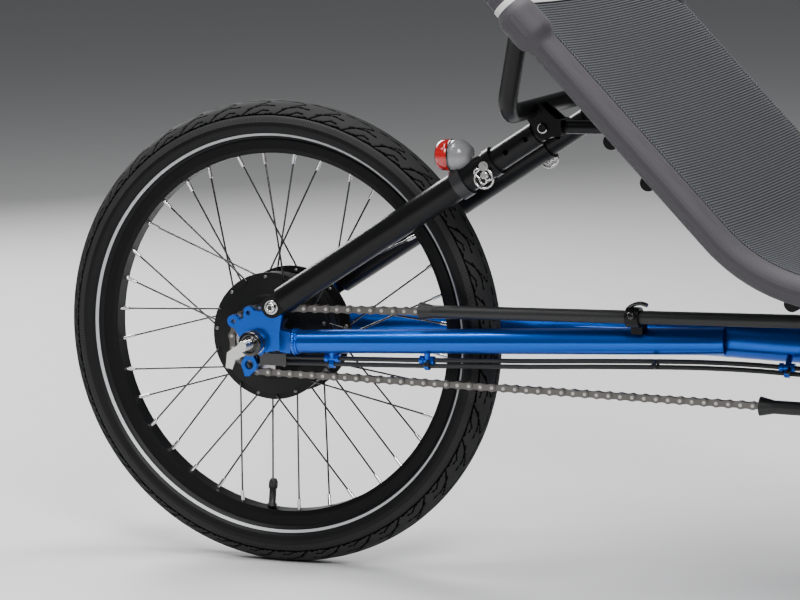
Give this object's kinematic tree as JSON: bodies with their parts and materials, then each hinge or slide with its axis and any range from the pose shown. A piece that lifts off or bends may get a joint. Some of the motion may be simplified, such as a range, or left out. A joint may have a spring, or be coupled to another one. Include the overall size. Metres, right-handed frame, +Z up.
{
  "type": "adult recumbent tricycle",
  "caption": "Adult recumbent tricycle with two steered front wheels, a driven rear wheel with a hub gear, a reclined mesh seat, telescopic seat stays and a chain led through guide tubes.",
  "frame": {"origin": "on the ground, under the middle of the tricycle's length and width", "axes": "+X forward, +Y to the rider's left, +Z up"},
  "size_m": [1.899, 0.806, 0.8286],
  "materials": {
    "blue_paint": "gloss metallic light blue",
    "black_metal": "satin black anodised",
    "bare_steel": "bright turned steel",
    "bright_alloy": "bright alloy",
    "chain_steel": "oiled steel",
    "tyre_rubber": "black rubber",
    "black_plastic": "satin black",
    "seat_mesh": "dark ribbed mesh",
    "lamp_plastic": "red lens"
  },
  "bodies": {
    "frame": {"main_tube": "blue_paint", "chainstay_left": "blue_paint", "chainstay_right": "blue_paint", "dropout_left": "blue_paint", "dropout_right": "blue_paint", "cross_arm_left": "blue_paint", "cross_arm_right": "blue_paint", "boom": "blue_paint", "bottom_bracket": "bare_steel", "rear_axle": "bare_steel", "rear_fasteners": "black_metal", "derailleur_hanger": "blue_paint", "frame_fittings": "blue_paint", "shift_cables": "black_plastic", "chain": "chain_steel", "chain_tube_upper": "black_plastic", "chain_tube_lower": "black_plastic", "seat_bracket": "blue_paint"},
    "rear_wheel": {"rear_tyre": "tyre_rubber", "rear_rim": "black_metal", "rear_spokes": "black_metal", "rear_nipples": "bright_alloy", "rear_hub": "black_metal"},
    "sprocket": {"rear_sprocket": "bare_steel"},
    "idler": {"idler_wheel": "black_plastic"},
    "crank": {"chainring": "black_metal", "crank_right": "black_metal", "crank_left": "black_metal"},
    "pedal_r": {"pedal_right": "black_metal"},
    "pedal_l": {"pedal_left": "black_metal"},
    "seat": {"seat_frame": "black_metal", "seat_brace": "black_metal", "seat_cover": "seat_mesh"},
    "stay_low_l": {"strut_lower_left": "black_metal"},
    "stay_low_r": {"strut_lower_right": "black_metal", "tail_light": "lamp_plastic"},
    "stay_up_l": {"strut_upper_left": "black_metal"},
    "stay_up_r": {"strut_upper_right": "black_metal"},
    "pin_l": {"lock_pin_left": "bare_steel"},
    "pin_r": {"lock_pin_right": "bare_steel"},
    "steer_l": {"kingpin_left": "black_metal", "handlebar_left": "black_metal", "caliper_left": "black_metal", "brake_cable_left": "black_plastic"},
    "steer_r": {"kingpin_right": "black_metal", "handlebar_right": "black_metal", "caliper_right": "black_metal", "brake_cable_right": "black_plastic"},
    "wheel_l": {"tyre_front_left": "tyre_rubber", "rim_front_left": "black_metal", "spokes_front_left": "black_metal", "hub_front_left": "bright_alloy"},
    "wheel_r": {"tyre_front_right": "tyre_rubber", "rim_front_right": "black_metal", "spokes_front_right": "black_metal", "hub_front_right": "bright_alloy"},
    "lever_l": {"brake_lever_left": "black_metal"},
    "lever_r": {"brake_lever_right": "black_metal"},
    "shifter": {"twist_shifter": "black_plastic"},
    "tie": {"tie_rod": "black_metal"}
  },
  "joints": [
    {"name": "rear_wheel_spin", "type": "hinge", "parent": "frame", "child": "rear_wheel", "pos_m": [-0.68917, 0, 0.25], "axis": [0, 1, 0], "continuous": true},
    {"name": "crank_spin", "type": "hinge", "parent": "frame", "child": "crank", "pos_m": [0.75077, 0, 0.3583], "axis": [0, 1, 0], "continuous": true, "deforming": ["chain"]},
    {"name": "sprocket_spin", "type": "hinge", "parent": "frame", "child": "sprocket", "pos_m": [-0.68917, 0, 0.25], "axis": [0, 1, 0], "continuous": true},
    {"name": "idler_spin", "type": "hinge", "parent": "frame", "child": "idler", "pos_m": [0.21583, 0, 0.336], "axis": [0, 1, 0], "continuous": true},
    {"name": "pedal_right_spin", "type": "hinge", "parent": "crank", "child": "pedal_r", "pos_m": [0.91577, 0, 0.3583], "axis": [0, 1, 0], "continuous": true},
    {"name": "pedal_left_spin", "type": "hinge", "parent": "crank", "child": "pedal_l", "pos_m": [0.58577, 0, 0.3583], "axis": [0, 1, 0], "continuous": true},
    {"name": "steering", "type": "hinge", "parent": "frame", "child": "steer_r", "pos_m": [0.35083, -0.30301, 0.25], "axis": [-0.2011, 0.2535, 0.9462], "range_deg": [-25, 25]},
    {"name": "steering_left", "type": "hinge", "parent": "frame", "child": "steer_l", "pos_m": [0.35083, 0.30301, 0.25], "axis": [-0.2011, -0.2535, 0.9462], "range_deg": [-25, 25]},
    {"name": "tie_rod_swing", "type": "hinge", "parent": "steer_r", "child": "tie", "pos_m": [0.28884, -0.32016, 0.186], "axis": [-0.1427, 0.2562, 0.956], "range_deg": [-25, 25]},
    {"name": "front_wheel_left_spin", "type": "hinge", "parent": "steer_l", "child": "wheel_l", "pos_m": [0.35083, 0.37, 0.25], "axis": [0, 1, 0], "continuous": true},
    {"name": "front_wheel_right_spin", "type": "hinge", "parent": "steer_r", "child": "wheel_r", "pos_m": [0.35083, -0.37, 0.25], "axis": [0, 1, 0], "continuous": true},
    {"name": "brake_lever_left_pull", "type": "hinge", "parent": "steer_l", "child": "lever_l", "pos_m": [0.20427, 0.29759, 0.42688], "axis": [0, 1, 0], "range_deg": [-18, 0], "stiffness_Nm_per_rad": 1.5, "springref_deg": 5.73},
    {"name": "brake_lever_right_pull", "type": "hinge", "parent": "steer_r", "child": "lever_r", "pos_m": [0.20427, -0.29759, 0.42688], "axis": [0, 1, 0], "range_deg": [-18, 0], "stiffness_Nm_per_rad": 1.5, "springref_deg": 5.73},
    {"name": "twist_shifter_turn", "type": "hinge", "parent": "steer_r", "child": "shifter", "pos_m": [0.171, -0.29948, 0.46862], "axis": [-0.1016, -0.0452, 0.9938], "range_deg": [-110, 110]},
    {"name": "seat_recline", "type": "hinge", "parent": "frame", "child": "seat", "pos_m": [0.1125, 0, 0.34597], "axis": [0, 1, 0], "range_deg": [-4, 2.5]},
    {"name": "stay_left_swing", "type": "hinge", "parent": "frame", "child": "stay_low_l", "pos_m": [-0.66417, 0.077, 0.29], "axis": [0, 1, 0], "range_deg": [-2.31, 3.69]},
    {"name": "stay_right_swing", "type": "hinge", "parent": "frame", "child": "stay_low_r", "pos_m": [-0.66417, -0.077, 0.29], "axis": [0, 1, 0], "range_deg": [-2.31, 3.69]},
    {"name": "stay_left_slide", "type": "slide", "parent": "stay_low_l", "child": "stay_up_l", "axis": [0.8412, 0, 0.5408], "range_m": [-0.02532, 0.01586]},
    {"name": "stay_right_slide", "type": "slide", "parent": "stay_low_r", "child": "stay_up_r", "axis": [0.8412, 0, 0.5408], "range_m": [-0.02532, 0.01586]},
    {"name": "lock_pin_left_pull", "type": "slide", "parent": "stay_low_l", "child": "pin_l", "axis": [0, 1, 0], "range_m": [0, 0.03]},
    {"name": "lock_pin_right_pull", "type": "slide", "parent": "stay_low_r", "child": "pin_r", "axis": [0, -1, 0], "range_m": [0, 0.03]}
  ],
  "couplings": [
    {"joint": "sprocket_spin", "follows": "crank_spin", "ratio": 2.2353},
    {"joint": "idler_spin", "follows": "crank_spin", "ratio": -2.5333},
    {"joint": "steering_left", "follows": "steering", "ratio": 1},
    {"joint": "tie_rod_swing", "follows": "steering", "ratio": -0.9897},
    {"joint": "stay_left_swing", "follows": "seat_recline", "ratio": -0.91871},
    {"joint": "stay_right_swing", "follows": "seat_recline", "ratio": -0.91871},
    {"joint": "stay_left_slide", "follows": "seat_recline", "m_per_rad": 0.36122},
    {"joint": "stay_right_slide", "follows": "seat_recline", "m_per_rad": 0.36122}
  ]
}
